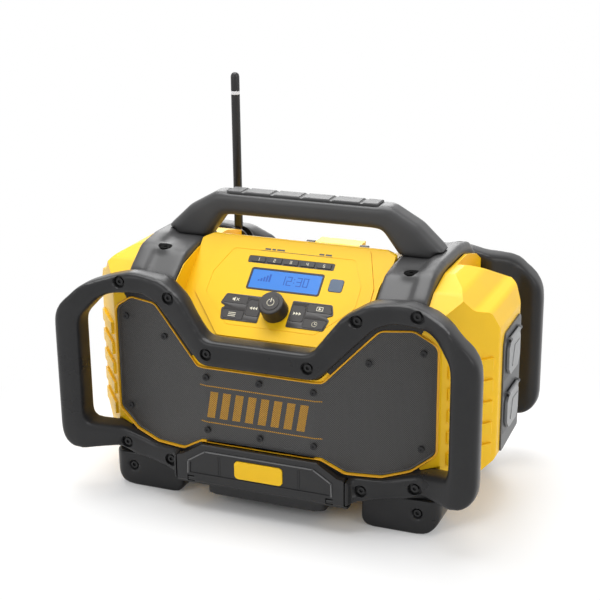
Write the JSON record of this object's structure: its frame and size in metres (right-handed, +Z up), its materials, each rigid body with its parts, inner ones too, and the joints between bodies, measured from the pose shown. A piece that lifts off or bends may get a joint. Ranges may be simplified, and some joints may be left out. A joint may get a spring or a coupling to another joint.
{
  "type": "jobsite radio",
  "caption": "Portable jobsite radio in a dark roll cage, with a yellow housing, wide speaker grille, sloped display panel, carry handle, fold-down antenna and side power outlets.",
  "frame": {"origin": "centre of the footprint, on the surface that the feet stand on", "axes": "+X to the right seen from the front, +Y to the back, +Z up; the mid-plane is X = 0"},
  "size_m": [0.501, 0.308, 0.461],
  "materials": {
    "yellow_shell": "satin moulded",
    "cage_rubber": "fine matte grain",
    "grip_rubber": "matte",
    "dark_plastic": "fine spark texture",
    "cover_plastic": "fine spark texture",
    "key_plastic": "satin",
    "grille_steel": "perforated, matte paint",
    "screw_steel": "black oxide",
    "cone_paper": "treated paper",
    "lcd_window": "clear",
    "lcd_blue": "backlit",
    "pairing_plastic": "satin",
    "circuit_board": "solder mask",
    "latch_yellow": "satin moulded",
    "gasket_rubber": "soft",
    "antenna_rubber": "matte",
    "outlet_grey": "satin",
    "flap_grey": "satin"
  },
  "bodies": {
    "cabinet": {"front_housing": "yellow_shell", "rear_housing": "yellow_shell", "front_cage": "cage_rubber", "rear_cage": "cage_rubber", "saddle_left": "cage_rubber", "saddle_right": "cage_rubber", "carry_handle": "cage_rubber", "grip_pad": "grip_rubber", "saddle_bolts": "screw_steel", "cage_screws": "screw_steel", "feet": "cage_rubber", "foot_screws": "screw_steel", "skid_plate": "dark_plastic", "grille": "grille_steel", "grille_screws": "screw_steel", "speaker_frame_left": "dark_plastic", "speaker_frame_right": "dark_plastic", "control_panel": "yellow_shell", "display_trim": "dark_plastic", "display_window": "lcd_window", "display_module": "lcd_blue", "encoder": "dark_plastic", "control_board": "circuit_board", "device_bay": "dark_plastic", "device_ports": "dark_plastic", "device_door_gasket": "gasket_rubber", "battery_bay": "dark_plastic", "battery_dock": "dark_plastic", "clasp_mount": "dark_plastic", "main_board": "circuit_board", "power_supply": "dark_plastic", "antenna_base": "antenna_rubber", "outlet_panel": "outlet_grey", "outlet_sockets": "dark_plastic", "hinge_pins": "screw_steel", "cord_gland": "dark_plastic"},
    "knob": {"tuning_knob": "key_plastic", "knob_shaft": "screw_steel"},
    "power": {"power_button": "key_plastic"},
    "preset_1": {"preset_button_1": "dark_plastic"},
    "preset_2": {"preset_button_2": "dark_plastic"},
    "preset_3": {"preset_button_3": "dark_plastic"},
    "preset_4": {"preset_button_4": "dark_plastic"},
    "preset_5": {"preset_button_5": "dark_plastic"},
    "key_upper_left": {"key_upper_left": "key_plastic"},
    "key_lower_left": {"key_lower_left": "key_plastic"},
    "key_back": {"key_back": "key_plastic"},
    "key_forward": {"key_forward": "key_plastic"},
    "key_upper_right": {"key_upper_right": "key_plastic"},
    "key_lower_right": {"key_lower_right": "key_plastic"},
    "pairing": {"pairing_button": "pairing_plastic"},
    "device_door": {"device_door": "dark_plastic"},
    "device_latch": {"device_door_latch": "latch_yellow"},
    "battery_cover": {"battery_cover": "cover_plastic"},
    "clasp": {"battery_clasp": "latch_yellow"},
    "antenna": {"antenna_mast": "antenna_rubber"},
    "flap_upper": {"outlet_flap_upper": "flap_grey"},
    "flap_lower": {"outlet_flap_lower": "flap_grey"},
    "cone_left": {"speaker_cone_left": "cone_paper"},
    "cone_right": {"speaker_cone_right": "cone_paper"}
  },
  "joints": [
    {"name": "knob_spin", "type": "hinge", "parent": "cabinet", "child": "knob", "pos_m": [0, -0.08846, 0.22929], "axis": [0, -0.669, 0.7433], "continuous": true},
    {"name": "power_press", "type": "slide", "parent": "knob", "child": "power", "axis": [0, 0.669, -0.7433], "range_m": [0, 0.0012], "stiffness_N_per_m": 400, "springref_m": -0.0005},
    {"name": "preset_1_press", "type": "slide", "parent": "cabinet", "child": "preset_1", "axis": [0, 0.669, -0.7433], "range_m": [0, 0.001], "stiffness_N_per_m": 400, "springref_m": -0.0005},
    {"name": "preset_2_press", "type": "slide", "parent": "cabinet", "child": "preset_2", "axis": [0, 0.669, -0.7433], "range_m": [0, 0.001], "stiffness_N_per_m": 400, "springref_m": -0.0005},
    {"name": "preset_3_press", "type": "slide", "parent": "cabinet", "child": "preset_3", "axis": [0, 0.669, -0.7433], "range_m": [0, 0.001], "stiffness_N_per_m": 400, "springref_m": -0.0005},
    {"name": "preset_4_press", "type": "slide", "parent": "cabinet", "child": "preset_4", "axis": [0, 0.669, -0.7433], "range_m": [0, 0.001], "stiffness_N_per_m": 400, "springref_m": -0.0005},
    {"name": "preset_5_press", "type": "slide", "parent": "cabinet", "child": "preset_5", "axis": [0, 0.669, -0.7433], "range_m": [0, 0.001], "stiffness_N_per_m": 400, "springref_m": -0.0005},
    {"name": "key_upper_left_press", "type": "slide", "parent": "cabinet", "child": "key_upper_left", "axis": [0, 0.669, -0.7433], "range_m": [0, 0.001], "stiffness_N_per_m": 400, "springref_m": -0.0005},
    {"name": "key_lower_left_press", "type": "slide", "parent": "cabinet", "child": "key_lower_left", "axis": [0, 0.669, -0.7433], "range_m": [0, 0.001], "stiffness_N_per_m": 400, "springref_m": -0.0005},
    {"name": "key_back_press", "type": "slide", "parent": "cabinet", "child": "key_back", "axis": [0, 0.669, -0.7433], "range_m": [0, 0.001], "stiffness_N_per_m": 400, "springref_m": -0.0005},
    {"name": "key_forward_press", "type": "slide", "parent": "cabinet", "child": "key_forward", "axis": [0, 0.669, -0.7433], "range_m": [0, 0.001], "stiffness_N_per_m": 400, "springref_m": -0.0005},
    {"name": "key_upper_right_press", "type": "slide", "parent": "cabinet", "child": "key_upper_right", "axis": [0, 0.669, -0.7433], "range_m": [0, 0.001], "stiffness_N_per_m": 400, "springref_m": -0.0005},
    {"name": "key_lower_right_press", "type": "slide", "parent": "cabinet", "child": "key_lower_right", "axis": [0, 0.669, -0.7433], "range_m": [0, 0.001], "stiffness_N_per_m": 400, "springref_m": -0.0005},
    {"name": "pairing_press", "type": "slide", "parent": "cabinet", "child": "pairing", "axis": [0, 0.669, -0.7433], "range_m": [0, 0.001], "stiffness_N_per_m": 400, "springref_m": -0.0005},
    {"name": "device_door_hinge", "type": "hinge", "parent": "cabinet", "child": "device_door", "pos_m": [0, -0.141, 0.037], "axis": [1, 0, 0], "range_deg": [0, 90]},
    {"name": "device_latch_press", "type": "slide", "parent": "device_door", "child": "device_latch", "axis": [0, 1, 0], "range_m": [0, 0.0025], "stiffness_N_per_m": 500, "springref_m": -0.0005},
    {"name": "battery_cover_hinge", "type": "hinge", "parent": "cabinet", "child": "battery_cover", "pos_m": [0, 0.129, 0.069], "axis": [-1, 0, 0], "range_deg": [0, 90]},
    {"name": "battery_clasp_lift", "type": "hinge", "parent": "cabinet", "child": "clasp", "pos_m": [0, 0.106, 0.25], "axis": [1, 0, 0], "range_deg": [0, 80]},
    {"name": "antenna_fold", "type": "hinge", "parent": "cabinet", "child": "antenna", "pos_m": [-0.125, 0.09, 0.252], "axis": [0, 1, 0], "range_deg": [0, 90]},
    {"name": "outlet_flap_upper_lift", "type": "hinge", "parent": "cabinet", "child": "flap_upper", "pos_m": [0.2486, 0.003, 0.204], "axis": [0, -1, 0], "range_deg": [0, 100], "stiffness_Nm_per_rad": 0.004, "springref_deg": -22.92},
    {"name": "outlet_flap_lower_lift", "type": "hinge", "parent": "cabinet", "child": "flap_lower", "pos_m": [0.2486, 0.003, 0.14], "axis": [0, -1, 0], "range_deg": [0, 100], "stiffness_Nm_per_rad": 0.004, "springref_deg": -22.92},
    {"name": "cone_left_travel", "type": "slide", "parent": "cabinet", "child": "cone_left", "axis": [-0.258, -0.9662, 0], "range_m": [-0.002, 0.002], "stiffness_N_per_m": 3000},
    {"name": "cone_right_travel", "type": "slide", "parent": "cabinet", "child": "cone_right", "axis": [0.258, -0.9662, 0], "range_m": [-0.002, 0.002], "stiffness_N_per_m": 3000}
  ]
}
